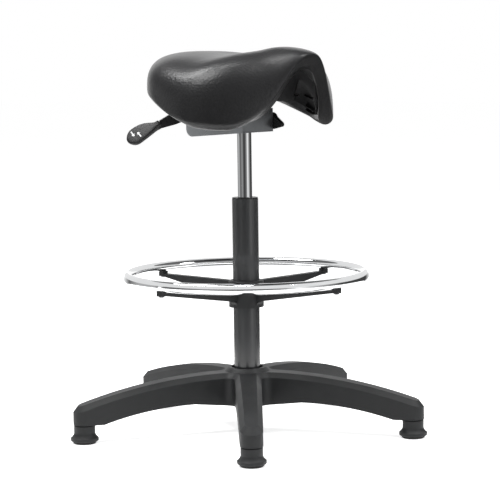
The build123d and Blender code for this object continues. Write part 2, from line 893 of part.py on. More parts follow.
with BuildPart() as lever_bar:
    with BuildSketch(lever_plane):
        Polygon(
            (-lever_tail, lever_bar_floor),
            (-lever_tail, bar_top),
            (lever_pivot_reach, bar_top),
            (lever_knee_reach, lever_knee_z + lever_knee_height / 2),
            (lever_neck_reach, lever_neck_z + lever_neck_height / 2),
            (lever_neck_reach, lever_neck_z - lever_neck_height / 2),
            (lever_knee_reach, lever_knee_z - lever_knee_height / 2),
            (lever_pivot_reach, lever_bar_floor),
            align=None,
        )
        with Locations((lever_pivot_reach, lever_pivot_z)):
            Circle(lever_pin_radius + running_gap, mode=Mode.SUBTRACT)
    extrude(amount=lever_bar_width / 2, both=True)
save(lever_bar.part, "lever_bar")

with BuildPart() as lever_pin:
    with BuildSketch(lever_plane.offset(-lug_floor - lug_sheet)):
        with Locations((lever_pivot_reach, lever_pivot_z)):
            Circle(lever_pin_radius)
    extrude(amount=2 * (lug_floor + lug_sheet))
save(lever_pin.part, "lever_pin")

droop = radians(paddle_droop)
neck = lever_out * lever_neck_reach + Vector(0, 0, lever_neck_z)
paddle_out = lever_out * cos(droop) - Vector(0, 0, sin(droop))
paddle_up = lever_out * sin(droop) + Vector(0, 0, cos(droop))
twist = radians(paddle_twist)
paddle_face = paddle_up * cos(twist) + lever_side * sin(twist)
paddle_plane = Plane(origin=neck, x_dir=paddle_out, z_dir=paddle_face)

with BuildPart() as lever_paddle:
    with BuildSketch(paddle_plane.offset(-paddle_thickness / 2)):
        with Locations((0, 0)):
            Circle(paddle_neck_width / 2)
        with Locations((paddle_length - paddle_width / 2, 0)):
            Circle(paddle_width / 2)
        make_hull()
    extrude(amount=paddle_thickness)
    fillet(lever_paddle.faces().filter_by(GeomType.PLANE).edges(), paddle_edge)
    with BuildSketch(lever_plane):
        Polygon(
            (lever_neck_reach - paddle_socket, lever_neck_z + lever_knee_height),
            (lever_neck_reach, lever_neck_z + lever_knee_height),
            (lever_neck_reach, lever_neck_z - lever_knee_height),
            (lever_neck_reach - paddle_socket, lever_neck_z - lever_knee_height),
            align=None,
        )
    extrude(amount=lever_bar_width / 2, both=True, mode=Mode.SUBTRACT)
save(lever_paddle.part, "lever_paddle")


# Saddle skin: its height over the plan, from the rim's height and the crest's height
crest_dip = plate_floor + dip_rise
crest_cantle = crest_dip + cantle_rise
crest_pommel = crest_dip + pommel_rise
rim_front = crest_dip - rim_front_drop
rim_flap = crest_dip - rim_flap_drop
rim_rear = crest_dip - rim_rear_drop


def plan_share(u):
    if u > seat_centre:
        return (u - seat_centre) / seat_front_length, front_squareness
    return (seat_centre - u) / seat_rear_length, rear_squareness


def rim_reach(u):
    share, power = plan_share(u)
    return seat_half_width * (1 - share**power) ** (1 / power)


def rim_level(lead):
    if lead > flap_place:
        return rim_flap + (rim_front - rim_flap) * ((lead - flap_place) / (1 - flap_place)) ** rim_front_sweep
    return rim_flap + (rim_rear - rim_flap) * ((flap_place - lead) / (1 + flap_place)) ** rim_rear_sweep


def crest_level(u):
    if u > dip_place:
        return crest_dip + (crest_pommel - crest_dip) * smooth((u - dip_place) / (pommel_place - dip_place))
    return crest_dip + (crest_cantle - crest_dip) * smooth((dip_place - u) / (dip_place - cantle_place))


def skin_level(u, v):
    share, power = plan_share(u)
    spread = (share**power + (abs(v) / seat_half_width) ** power) ** (1 / power)
    ahead = u > seat_centre
    lead = 0.0 if spread == 0 else (share / spread) ** (power / 2) * (1 if ahead else -1)
    end_flatness = front_flatness if ahead else rear_flatness
    end_roundness = front_roundness if ahead else rear_roundness
    flatness = side_flatness + (end_flatness - side_flatness) * lead**2
    roundness = side_roundness + (end_roundness - side_roundness) * lead**2
    rim = rim_level(lead)
    return rim + (crest_level(u) - rim) * max(1 - spread**flatness, 0) ** (1 / roundness)


def crown_depth(u):
    front_end = seat_centre + seat_front_length
    return min(skin_crown, skin_level(u, 0) - rim_front + front_lip_slope * (front_end - u))


def saddle_arch(u, lip, crown):
    # Section at u, drawn in by lip at the sides and by crown at the crest.
    reach = rim_reach(u)
    foot = skin_level(u, reach)
    crest = skin_level(u, 0)
    height_share = (crest - crown - foot) / (crest - foot)
    arch = []
    for step in range(-half_points, half_points + 1):
        v = reach * sin(step / half_points * pi / 2)
        arch.append((v * (reach - lip) / reach, foot + (skin_level(u, v) - foot) * height_share))
    return arch


def stations(rear_angle, front_angle):
    rear = [rear_angle * (1 - step / end_steps) for step in range(end_steps)]
    front = [front_angle * step / end_steps for step in range(end_steps + 1)]
    behind = [seat_centre - seat_rear_length * sin(radians(angle)) for angle in rear]
    return behind + [seat_centre + seat_front_length * sin(radians(angle)) for angle in front]


# Foam skin: the saddle form, hollowed from below to leave a lip all round
hollow_stations = stations(cavity_rear_angle, cavity_front_angle)

with BuildPart() as seat_foam:
    for u in stations(skin_end_angle, skin_end_angle):
        skin_arch = saddle_arch(u, 0, 0)
        with BuildSketch(Plane.XZ.offset(u)):
            with BuildLine():
                Spline(*skin_arch)
                Line(skin_arch[-1], skin_arch[0])
            make_face()
    loft()
    for u in hollow_stations:
        hollow = saddle_arch(u, skin_lip, crown_depth(u))
        with BuildSketch(Plane.XZ.offset(u)):
            with BuildLine():
                Spline(*hollow)
                Polyline(
                    hollow[-1],
                    (hollow[-1][0], hollow[-1][1] - cut_depth),
                    (hollow[0][0], hollow[0][1] - cut_depth),
                    hollow[0],
                )
            make_face()
    loft(mode=Mode.SUBTRACT)
save(seat_foam.part, "seat_foam")


# Inner shell: a thin moulded arch inside the foam, with bosses down to the seat plate
shell_inset = shell_gap + shell_sheet

with BuildPart() as seat_shell:
    for u in hollow_stations:
        outer = saddle_arch(u, skin_lip + shell_gap, crown_depth(u) + shell_gap)
        with BuildSketch(Plane.XZ.offset(u)):
            with BuildLine():
                Spline(*outer)
                Line(outer[-1], outer[0])
            make_face()
    loft()
    for u in hollow_stations:
        inner = saddle_arch(u, skin_lip + shell_inset, crown_depth(u) + shell_inset)
        with BuildSketch(Plane.XZ.offset(u)):
            with BuildLine():
                Spline(*inner)
                Polyline(
                    inner[-1],
                    (inner[-1][0], inner[-1][1] - cut_depth),
                    (inner[0][0], inner[0][1] - cut_depth),
                    inner[0],
                )
            make_face()
    loft(mode=Mode.SUBTRACT)
    for u in hollow_stations:
        side = rim_reach(u)
        rim = skin_level(u, side)
        with BuildSketch(Plane.XZ.offset(u)):
            Polygon(
                (-side, rim - cut_depth),
                (side, rim - cut_depth),
                (side, rim + shell_recess),
                (-side, rim + shell_recess),
                align=None,
            )
    loft(mode=Mode.SUBTRACT)
    split(bisect_by=Plane.XZ.offset(shell_front), keep=Keep.BOTTOM)
    split(bisect_by=Plane.XZ.offset(-shell_rear), keep=Keep.TOP)
    for x, y in bolt_places:
        boss_top = skin_level(-y, abs(x) + boss_radius) - skin_crown - shell_gap - shell_sheet / 2
        with BuildSketch(Plane.XY.offset(plate_top)):
            with Locations((x, y)):
                Circle(boss_radius)
        extrude(amount=boss_top - plate_top)
    with BuildSketch(Plane.XY.offset(plate_top)):
        with Locations(*bolt_places):
            Circle(insert_radius)
    extrude(amount=bolt_length, mode=Mode.SUBTRACT)
save(seat_shell.part, "seat_shell")
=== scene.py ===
import json
import math

import bpy
from mathutils import Matrix, Vector


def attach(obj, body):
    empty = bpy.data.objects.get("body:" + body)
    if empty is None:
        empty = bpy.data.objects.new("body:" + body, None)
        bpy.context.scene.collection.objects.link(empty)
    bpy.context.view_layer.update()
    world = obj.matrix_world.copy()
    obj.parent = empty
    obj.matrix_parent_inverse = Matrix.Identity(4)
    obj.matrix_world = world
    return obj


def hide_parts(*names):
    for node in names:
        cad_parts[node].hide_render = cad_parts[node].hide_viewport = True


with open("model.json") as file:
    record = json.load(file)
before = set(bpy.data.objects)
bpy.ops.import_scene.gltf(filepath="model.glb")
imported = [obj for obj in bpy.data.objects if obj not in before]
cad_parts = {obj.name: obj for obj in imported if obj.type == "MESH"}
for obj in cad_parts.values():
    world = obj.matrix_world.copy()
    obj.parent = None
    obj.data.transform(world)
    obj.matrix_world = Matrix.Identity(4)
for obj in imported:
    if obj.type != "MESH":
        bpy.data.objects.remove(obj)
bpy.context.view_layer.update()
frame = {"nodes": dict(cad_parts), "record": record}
nodes = frame["nodes"]
scene = bpy.context.scene
scene.view_settings.view_transform = "Standard"
mm = 0.001
up = Vector((0, 0, 1))
print("frame loaded:", len(nodes), "nodes")


def hexToLinear(code):
    channels = [int(code[i:i + 2], 16) / 255 for i in (1, 3, 5)]
    return [c / 12.92 if c <= 0.04045 else ((c + 0.055) / 1.055) ** 2.4 for c in channels] + [1.0]


def addNode(tree, kind, settings=(), links=()):
    node = tree.nodes.new(kind)
    for name, value in dict(settings).items():
        if isinstance(name, int) or name in node.inputs:
            node.inputs[name].default_value = value
        else:
            setattr(node, name, value)
    for name, source in dict(links).items():
        tree.links.new(source, node.inputs[name])
    return node


def startMaterial(name):
    material = bpy.data.materials.new(name)
    material.use_nodes = True
    tree = material.node_tree
    return material, tree, tree.nodes["Principled BSDF"]


def meshPiece(name, points, faces, material):
    mesh = bpy.data.meshes.new(name)
    mesh.from_pydata([tuple(p) for p in points], [], faces)
    mesh.validate()
    mesh.update()
    for polygon in mesh.polygons:
        polygon.use_smooth = True
    piece = bpy.data.objects.new(name, mesh)
    scene.collection.objects.link(piece)
    mesh.materials.append(material)
    return piece


def ringFaces(rings, around):
    # quads between closed rings of equal count
    faces = []
    for ring in range(rings - 1):
        low, high = ring * around, (ring + 1) * around
        for step in range(around):
            ahead = (step + 1) % around
            faces.append((low + step, low + ahead, high + ahead, high + step))
    return faces


def cappedRings(rings, firstMiddle, lastMiddle):
    # closed skin over rings of (forward, sideways, up) in mm, with a middle point at each end
    around = len(rings[0])
    points = [point for line in rings for point in line] + [firstMiddle, lastMiddle]
    faces = ringFaces(len(rings), around)
    last = (len(rings) - 1) * around
    for step in range(around):
        ahead = (step + 1) % around
        faces.append((ahead, step, len(points) - 2))
        faces.append((last + step, last + ahead, len(points) - 1))
    return [Vector((-p.y, -p.x, p.z)) * mm for p in points], faces


# Integral-skin polyurethane: foam moulded against a grained tool, so the skin is black through, satin and
# pebbled like fine leather. The real pebble is about 1.5 mm; it is drawn coarser so that it shows.
skinFinish = {
    "colour": "#1f1f20", "worn": "#252526", "roughness": 0.34, "glossDrift": 0.05, "ior": 1.45,
    # sizes in mm: pebble, pore, patch of wear, depth of the grain
    "pebble": 4.2, "pore": 1.6, "patch": 60.0, "depth": 0.6,
    "pebbleBlend": 0.6, "pebbleScatter": 0.9, "poreShare": 0.35, "relief": 0.52,
}
skinMaterial, tree, shader = startMaterial("integralSkinPolyurethane")
place = addNode(tree, "ShaderNodeTexCoord").outputs["Object"]
pebble = addNode(tree, "ShaderNodeTexVoronoi",
                 {"feature": "SMOOTH_F1", "Scale": 1 / (skinFinish["pebble"] * mm),
                  "Smoothness": skinFinish["pebbleBlend"], "Randomness": skinFinish["pebbleScatter"]},
                 {"Vector": place})
pore = addNode(tree, "ShaderNodeTexNoise", {"Scale": 1 / (skinFinish["pore"] * mm), "Detail": 2.0},
               {"Vector": place})
patch = addNode(tree, "ShaderNodeTexNoise", {"Scale": 1 / (skinFinish["patch"] * mm), "Detail": 3.0},
                {"Vector": place})
relief = addNode(tree, "ShaderNodeMath", {"operation": "MULTIPLY_ADD", 1: skinFinish["poreShare"]},
                 {0: pore.outputs["Fac"], 2: pebble.outputs["Distance"]})
grain = addNode(tree, "ShaderNodeBump", {"Strength": skinFinish["relief"], "Distance": skinFinish["depth"] * mm},
                {"Height": relief.outputs[0]})
gloss = addNode(tree, "ShaderNodeMapRange",
                {"To Min": skinFinish["roughness"] - skinFinish["glossDrift"],
                 "To Max": skinFinish["roughness"] + skinFinish["glossDrift"]},
                {"Value": patch.outputs["Fac"]})
tint = addNode(tree, "ShaderNodeMix",
               {"data_type": "RGBA", 6: hexToLinear(skinFinish["colour"]), 7: hexToLinear(skinFinish["worn"])},
               {0: patch.outputs["Fac"]})
tree.links.new(tint.outputs[2], shader.inputs["Base Color"])
tree.links.new(gloss.outputs[0], shader.inputs["Roughness"])
tree.links.new(grain.outputs[0], shader.inputs["Normal"])
shader.inputs["IOR"].default_value = skinFinish["ior"]

# The other finishes share one layout: colour drift, gloss drift and a fine texture, its size in mm.
# Textures finer than about 1 mm are drawn at that size, so that they show. One without an IOR is a metal.
finishes = {
    # glass-filled nylon, injection moulded against a spark-eroded tool: dark grey with a dry sheen;
    # its 1 mm texture is drawn coarser so that it shows
    "base_nylon": {"name": "glassFilledNylon", "colour": "#1c1d1e", "drift": "#272829", "roughness": 0.50,
                   "texture": 3.2, "relief": 0.50, "ior": 1.38},
    # the same nylon moulded against a finer tool: smoother and a little glossier
    "spider_nylon": {"name": "glassFilledNylonFine", "colour": "#1b1c1d", "drift": "#232425", "roughness": 0.46,
                     "texture": 1.2, "relief": 0.14, "ior": 1.40},
    # powder coat baked on steel tube: satin with a slight orange peel
    "column_paint": {"name": "powderCoatedSteel", "colour": "#3a3b3c", "drift": "#404142", "roughness": 0.17,
                     "texture": 2.4, "relief": 0.06, "ior": 1.58},
    # stoved black paint on pressed steel: even, with a low sheen
    "plate_paint": {"name": "stovedPaintSteel", "colour": "#141415", "drift": "#1a1a1b", "roughness": 0.40,
                    "texture": 1.8, "relief": 0.06, "ior": 1.5},
    # ABS, moulded and slightly polished by hands
    "handle_plastic": {"name": "mouldedAbs", "colour": "#1d1d1e", "drift": "#252526", "roughness": 0.48,
                       "texture": 1.0, "relief": 0.10, "ior": 1.42},
    # polypropylene, moulded, dull inside the saddle
    "shell_plastic": {"name": "mouldedPolypropylene", "colour": "#18181a", "drift": "#1f1f20", "roughness": 0.80,
                      "texture": 1.8, "relief": 0.10, "ior": 1.49},
    # rubber, vulcanised in a mould: matt with a grey bloom
    "sole_rubber": {"name": "vulcanisedRubber", "colour": "#161616", "drift": "#202020", "roughness": 0.70,
                    "texture": 1.2, "relief": 0.15, "ior": 1.52},
    # acetal, turned: smooth, with a waxy sheen
    "bush_plastic": {"name": "turnedAcetal", "colour": "#1a1a1b", "drift": "#202021", "roughness": 0.40,
                     "texture": 0.8, "relief": 0.04, "ior": 1.48},
    # zinc plate on pressed steel: pale grey and cloudy
    "zinc_steel": {"name": "zincPlatedSteel", "colour": "#b4b7ba", "drift": "#cccfd2", "roughness": 0.30,
                   "texture": 3.0, "relief": 0.04},
    # steel, turned and left bright: mid grey with a soft shine
    "plain_steel": {"name": "machinedSteel", "colour": "#8f9296", "drift": "#a2a5a9", "roughness": 0.28,
                    "texture": 1.2, "relief": 0.04},
    # brass, turned: warm yellow with a soft shine
    "insert_brass": {"name": "turnedBrass", "colour": "#b08d4a", "drift": "#c19c55", "roughness": 0.30,
                     "texture": 1.2, "relief": 0.05},
    # chrome plate over buffed tube: nearly a mirror with a faint buffing haze
    "chrome": {"name": "chromePlate", "colour": "#e2e3e5", "drift": "#ebecec", "roughness": 0.055},
}
# what they share: size of the drift in mm, gloss drift as a share of the roughness, depth of texture in mm
finishLayout = {"cloud": 45.0, "glossDrift": 0.2, "depth": 0.3}
materials = {"seat_skin": skinMaterial}
for slotName, finish in finishes.items():
    material, tree, shader = startMaterial(finish["name"])
    place = addNode(tree, "ShaderNodeTexCoord").outputs["Object"]
    cloud = addNode(tree, "ShaderNodeTexNoise", {"Scale": 1 / (finishLayout["cloud"] * mm), "Detail": 4.0},
                    {"Vector": place})
    tint = addNode(tree, "ShaderNodeMix",
                   {"data_type": "RGBA", 6: hexToLinear(finish["colour"]), 7: hexToLinear(finish["drift"])},
                   {0: cloud.outputs["Fac"]})
    gloss = addNode(tree, "ShaderNodeMapRange",
                    {"To Min": finish["roughness"] * (1 - finishLayout["glossDrift"]),
                     "To Max": finish["roughness"] * (1 + finishLayout["glossDrift"])},
                    {"Value": cloud.outputs["Fac"]})
    tree.links.new(tint.outputs[2], shader.inputs["Base Color"])
    tree.links.new(gloss.outputs[0], shader.inputs["Roughness"])
    if "texture" in finish:
        speck = addNode(tree, "ShaderNodeTexNoise", {"Scale": 1 / (finish["texture"] * mm), "Detail": 2.0},
                        {"Vector": place})
        bump = addNode(tree, "ShaderNodeBump",
                       {"Strength": finish["relief"], "Distance": finishLayout["depth"] * mm},
                       {"Height": speck.outputs["Fac"]})
        tree.links.new(bump.outputs[0], shader.inputs["Normal"])
    if "ior" in finish:
        shader.inputs["IOR"].default_value = finish["ior"]
    else:
        shader.inputs["Metallic"].default_value = 1.0
    materials[slotName] = material

for entry in frame["record"]["subparts"]:
    node = nodes[entry["node"]]
    node.data.materials.clear()
    node.data.materials.append(materials[entry["material_slot"]])
print("finishes:", len(materials))


# Saddle: one moulded skin, worked out as a height over its plan, with a rolled edge and a hollow below.
# Sizes in mm; lead is the cosine of the turn round the plan, 1 at the front and -1 at the rear.
saddle = {
    "centre": 22.9, "halfWidth": 197.0, "rearLength": 186.4, "frontLength": 147.0,
    "rearPower": 2.2, "frontPower": 1.53, "planFade": 3.0,
    # height of the lowest edge by lead, from the rear round the flap to the front
    "edge": ((-1.0, 690.0), (-0.75, 641.0), (-0.5, 625.0), (-0.25, 606.0), (0.0, 588.0), (0.25, 580.0),
             (0.5, 576.0), (0.62, 575.0), (0.74, 590.0), (0.81, 604.0), (0.87, 623.0), (0.915, 650.0),
             (0.95, 678.0), (0.98, 695.0), (1.0, 698.5)),
    # crest: forward place and height
    "cantle": (-113.2, 720.7), "dip": (6.5, 710.3), "pommel": (111.8, 727.0),
    # how flat the top stays and how steeply it rolls to the rim
    "sideRoll": (3.05, 2.9), "rearRoll": (4.4, 3.3), "frontRoll": (2.5, 1.55),
    # rolled edge: radius, the lead from which it changes to its end value, and how far the rear rim sinks into it
    "sideBead": 15.0, "frontBead": 12.0, "rearBead": 18.0, "beadLead": 0.375, "rearSink": 0.7, "sinkLead": 0.5,
    # lip under the edge: slope in degrees, width, least width, steps across it, and the groove at its end
    "sideTilt": 46.0, "frontTilt": -55.0, "tiltLeads": (0.5, 0.95),
    "lip": 28.0, "leastLip": 4.0, "lipShares": (0.5, 0.94, 1.0), "groove": 3.0,
    # hollow: thickness at the crest, and the least rise of its roof
    "crown": 38.0, "leastRoof": 2.0,
    # points round, rings, and the evening of each ring in points, wider towards the nose
    "around": 192, "rings": 44, "beadSteps": 9, "hollowRings": 16,
    "blur": 3.0, "noseBlur": 7.0, "noseLeads": (0.5, 0.9),
}


def ease(t):
    t = min(max(t, 0.0), 1.0)
    return t * t * (3 - 2 * t)


def beadRadius(lead):
    end = saddle["frontBead"] if lead > 0 else saddle["rearBead"]
    share = ease((abs(lead) - saddle["beadLead"]) / (1 - saddle["beadLead"]))
    return saddle["sideBead"] + (end - saddle["sideBead"]) * share


def lipTilt(lead):
    start, stop = saddle["tiltLeads"]
    share = ease((lead - start) / (stop - start))
    return math.radians(saddle["sideTilt"] + (saddle["frontTilt"] - saddle["sideTilt"]) * share)


def tableCurve(table, x):
    # smooth curve through a table of (x, height)
    last = len(table) - 2
    k = next((i for i in range(last) if x <= table[i + 1][0]), last)
    slopes = []
    for i in (k, k + 1):
        low, high = table[max(i - 1, 0)], table[min(i + 1, last + 1)]
        slopes.append((high[1] - low[1]) / (high[0] - low[0]))
    (x0, y0), (x1, y1) = table[k], table[k + 1]
    t, run = (x - x0) / (x1 - x0), x1 - x0
    rise = ease(t) * (y1 - y0)
    return y0 + rise + run * (slopes[0] * t * (1 - t) ** 2 - slopes[1] * t * t * (1 - t))


def rimHeight(lead):
    sink = saddle["rearSink"] * ease((-lead - saddle["sinkLead"]) / (1 - saddle["sinkLead"]))
    return tableCurve(saddle["edge"], lead) + beadRadius(lead) * (1 - sink)


def crestHeight(u):
    dipU, dipZ = saddle["dip"]
    endU, endZ = saddle["pommel"] if u > dipU else saddle["cantle"]
    return dipZ + (endZ - dipZ) * ease((u - dipU) / (endU - dipU))


def planPoint(turn, spread):
    # forward distance u and sideways distance v on the plan, spread 0 at the middle and 1 at the rim
    lead, side = math.cos(turn), math.sin(turn)
    length, power = saddle["rearLength"], saddle["rearPower"]
    if lead > 0:
        length = saddle["frontLength"]
        power = 2 + (saddle["frontPower"] - 2) * spread ** saddle["planFade"]
    u = saddle["centre"] + math.copysign(length * spread * abs(lead) ** (2 / power), lead)
    v = math.copysign(saddle["halfWidth"] * spread * abs(side) ** (2 / power), side)
    return u, v


def rollPowers(lead):
    end = saddle["frontRoll"] if lead > 0 else saddle["rearRoll"]
    return [s + (e - s) * lead ** 2 for s, e in zip(saddle["sideRoll"], end)]


def blurRing(ring, width):
    # evens out a closed ring of points along its length
    count, reach = len(ring), int(width * 3)
    weights = [math.exp(-0.5 * (k / width) ** 2) for k in range(-reach, reach + 1)]
    total = sum(weights)
    even = []
    for i in range(count):
        near = (ring[(i + k - reach) % count] * weight for k, weight in enumerate(weights))
        even.append(sum(near, Vector()) / total)
    return even


def roundNose(ring):
    # evens the whole ring a little, and its plan more towards the front
    even, blunt = blurRing(ring, saddle["blur"]), blurRing(ring, saddle["noseBlur"])
    low, high = saddle["noseLeads"]
    line = []
    for point, softer, lead in zip(even, blunt, leads):
        share = ease((lead - low) / (high - low))
        line.append(Vector((*point.xy.lerp(softer.xy, share), point.z)))
    return line


turns = [2 * math.pi * (step + 0.5) / saddle["around"] for step in range(saddle["around"])]
leads = [math.cos(turn) for turn in turns]
middle = saddle["centre"]
rings = []
for ring in range(1, saddle["rings"] + 1):
    tau = math.pi / 2 * ring / saddle["rings"]
    line = []
    for turn, lead in zip(turns, leads):
        flat, steep = rollPowers(lead)
        u, v = planPoint(turn, math.sin(tau) ** (2 / flat))
        rim = rimHeight(lead)
        line.append(Vector((u, v, rim + (crestHeight(u) - rim) * max(math.cos(tau), 0) ** (2 / steep))))
    rings.append(roundNose(line))
rimLine = rings[-1]
inward = []
for step in range(saddle["around"]):
    along = rimLine[(step + 1) % saddle["around"]] - rimLine[step - 1]
    inward.append(Vector((-along.y, along.x, 0)).normalized())
inward = [draw.normalized() for draw in blurRing(inward, saddle["blur"])]
for share in range(1, saddle["beadSteps"] + 1):
    line = []
    for edge, draw, lead in zip(rimLine, inward, leads):
        roll = (math.pi / 2 + lipTilt(lead)) * share / saddle["beadSteps"]
        radius = beadRadius(lead)
        line.append(edge + draw * radius * (1 - math.cos(roll)) - up * radius * math.sin(roll))
    rings.append(line)
beadEnd = rings[-1]
for share in saddle["lipShares"]:
    line = []
    for edge, start, draw, lead in zip(rimLine, beadEnd, inward, leads):
        tilt = lipTilt(lead)
        run = max(saddle["lip"] - (start - edge).dot(draw), saddle["leastLip"])
        run *= 1.0 if tilt > 0 else math.cos(tilt)
        lift = run * math.tan(tilt) * share + (saddle["groove"] if share == 1.0 else 0.0)
        line.append(start + draw * run * share + up * lift)
    rings.append(line)
lipEdge = rings[-1]
for ring in range(1, saddle["hollowRings"]):
    tau = math.pi / 2 * (1 - ring / saddle["hollowRings"])
    line = []
    for edge, lead in zip(lipEdge, leads):
        flat, steep = rollPowers(lead)
        spread = math.sin(tau) ** (2 / flat)
        u = middle + (edge.x - middle) * spread
        roof = max(crestHeight(u) - saddle["crown"] - edge.z, saddle["leastRoof"])
        line.append(Vector((u, edge.y * spread, edge.z + roof * math.cos(tau) ** (2 / steep))))
    rings.append(line)
crestMiddle = Vector((middle, 0, crestHeight(middle)))
points, faces = cappedRings(rings, crestMiddle, crestMiddle - up * saddle["crown"])
seatPiece = meshPiece("saddleSkin", points, faces, skinMaterial)
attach(seatPiece, "seat")
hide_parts("seat_foam")
print("saddle skin:", len(seatPiece.data.polygons), "faces")


# Inner shell: a moulded arch under the skin, with a pan in the middle that takes the seat plate
shell = {
    "inset": 1.0, "sheet": 4.0, "recess": 9.0, "rings": 34, "roofGap": 1.0, "leastRoof": 1.0,
    # ribs round the flap: share of the height and how far each stands in, then the stretch of flap that has them
    "ribs": ((0.0, 6.0), (0.015, 6.0), (0.025, 0.0), (0.105, 0.0), (0.115, 6.0), (0.14, 6.0), (0.15, 0.0),
             (0.40, 0.0), (0.41, 6.0), (0.435, 6.0), (0.445, 0.0)),
    "ribLeads": (0.10, 0.13, 0.66, 0.70),
    "panCentre": 0.0, "panLength": 90.0, "panWidth": 68.0, "panPower": 5.0, "panWall": 0.14,
    "panFloor": 637.0, "noseFloor": 624.5, "noseFrom": 46.0, "noseTo": 58.0,
}


def panShare(u, v):
    power = shell["panPower"]
    ahead, aside = (u - shell["panCentre"]) / shell["panLength"], v / shell["panWidth"]
    reach = (abs(ahead) ** power + abs(aside) ** power) ** (1 / power)
    return ease((1.0 + shell["panWall"] / 2 - reach) / shell["panWall"])


def panFloor(u):
    share = ease((u - shell["noseFrom"]) / (shell["noseTo"] - shell["noseFrom"]))
    return shell["panFloor"] + (shell["noseFloor"] - shell["panFloor"]) * share


def stretchShare(place, stretch):
    # 0 outside a stretch, 1 within it, eased at both ends
    rise, full, fade, end = stretch
    return ease((place - rise) / (full - rise)) * ease((end - place) / (end - fade))


def shellLine(depth, tau, withPan, rib=0.0):
    line = []
    for edge, draw, lead in zip(lipEdge, inward, leads):
        inset = shell["inset"] + depth + rib * stretchShare(lead, shell["ribLeads"])
        start = edge + draw * inset + up * shell["recess"]
        flat, steep = rollPowers(lead)
        spread = math.sin(tau) ** (2 / flat)
        u, v = middle + (start.x - middle) * spread, start.y * spread
        roof = crestHeight(u) - saddle["crown"] - (shell["roofGap"] + depth) - start.z
        z = start.z + max(roof, shell["leastRoof"]) * math.cos(tau) ** (2 / steep)
        if withPan:
            z += (min(panFloor(u), z) - z) * panShare(u, v)
        line.append(Vector((u, v, z)))
    return line


# outside from the roof down, then inside from the ribs up to the pan
shellRings = []
for ring in range(shell["rings"] - 1, -1, -1):
    shellRings.append(shellLine(0.0, math.pi / 2 * (1 - ring / shell["rings"]), False))
ribTaus = [(math.acos(share ** (saddle["sideRoll"][1] / 2)), rib) for share, rib in shell["ribs"]]
plainTaus = [(math.pi / 2 * (1 - ring / shell["rings"]), 0.0) for ring in range(1, shell["rings"])]
for tau, rib in ribTaus + [entry for entry in plainTaus if entry[0] < ribTaus[-1][0]]:
    shellRings.append(shellLine(shell["sheet"], tau, True, rib))
roofMiddle = crestMiddle - up * (saddle["crown"] + shell["roofGap"])
points, faces = cappedRings(shellRings, roofMiddle, Vector((middle, 0, shell["panFloor"])))
shellPiece = meshPiece("innerShell", points, faces, materials["shell_plastic"])
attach(shellPiece, "seat")
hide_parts("seat_shell")
print("inner shell:", len(shellPiece.data.polygons), "faces")


# Lever handle: a moulded spoon, turned towards the rider, with ridges at its tip and two printed arrows
handle = {
    "turn": 141.7, "reach": 160.2, "height": 575.8, "droop": 35.3, "twist": 48.0, "square": 4.0, "around": 40,
    # along the handle, lower edge, upper edge, thickness
    "stations": ((-7, -1, 14, 14.0), (-5.5, -2, 15, 15.5), (0, -1.5, 15.5, 15.5), (5, -0.5, 18.0, 14.0),
                 (10, 0, 21.2, 12.5), (17, 0, 25.0, 11.5), (25, 0, 27.8, 11.0), (34, 0, 29.3, 10.5),
                 (43, 0, 29.6, 10.0), (47, 0.2, 29.2, 9.4), (49, 0.6, 28.6, 10.4), (51, 1.2, 27.9, 9.2),
                 (53, 2.0, 27.0, 10.2), (55, 3.2, 25.8, 8.8), (57, 4.8, 24.4, 9.6), (59, 7.0, 22.6, 7.6),
                 (61, 10.0, 20.0, 5.4), (62, 13.0, 17.6, 2.6)),
    # keeps the last section from closing to nothing
    "leastSpread": 0.2,
}
leverTurn, droop, twist = (math.radians(handle[key]) for key in ("turn", "droop", "twist"))
leverOut = Vector((math.cos(leverTurn), math.sin(leverTurn), 0))
leverSide = Vector((-math.sin(leverTurn), math.cos(leverTurn), 0))
handleAlong = leverOut * math.cos(droop) - up * math.sin(droop)
handleUp = leverOut * math.sin(droop) + up * math.cos(droop)
handleFace = handleUp * math.cos(twist) + leverSide * math.sin(twist)
handleWide = handleUp * math.sin(twist) - leverSide * math.cos(twist)
handleStart = leverOut * handle["reach"] + up * handle["height"]
spreadPower = handle["square"] / (handle["square"] - 1)


def handleSection(along):
    # middle, half width and half thickness, so that the twisted section keeps its lower and upper edge
    stations = handle["stations"]
    for (a0, l0, h0, t0), (a1, l1, h1, t1) in zip(stations, stations[1:]):
        if a0 <= along <= a1:
            part = (along - a0) / (a1 - a0)
            low, high, thick = (p + (q - p) * part for p, q in ((l0, l1), (h0, h1), (t0, t1)))
            edge = (thick / 2 * math.cos(twist)) ** spreadPower
            spread = max(((high - low) / 2) ** spreadPower - edge, handle["leastSpread"])
            wide = spread ** (1 / spreadPower) / math.sin(twist)
            return handleStart + handleAlong * along + handleUp * (low + high) / 2, wide, thick / 2


def roundedPower(value, power):
    return math.copysign(abs(value) ** power, value)


points = []
for along, *_ in handle["stations"]:
    centre, wide, thick = handleSection(along)
    for step in range(handle["around"]):
        angle = 2 * math.pi * step / handle["around"]
        points.append(centre + handleWide * wide * roundedPower(math.cos(angle), 2 / handle["square"])
                      + handleFace * thick * roundedPower(math.sin(angle), 2 / handle["square"]))
faces = ringFaces(len(handle["stations"]), handle["around"])
faces.append(tuple(range(handle["around"]))[::-1])
faces.append(tuple(range(len(points) - handle["around"], len(points))))
handlePiece = meshPiece("leverHandle", [p * mm for p in points], faces, materials["handle_plastic"])
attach(handlePiece, "height_lever")
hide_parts("lever_paddle")

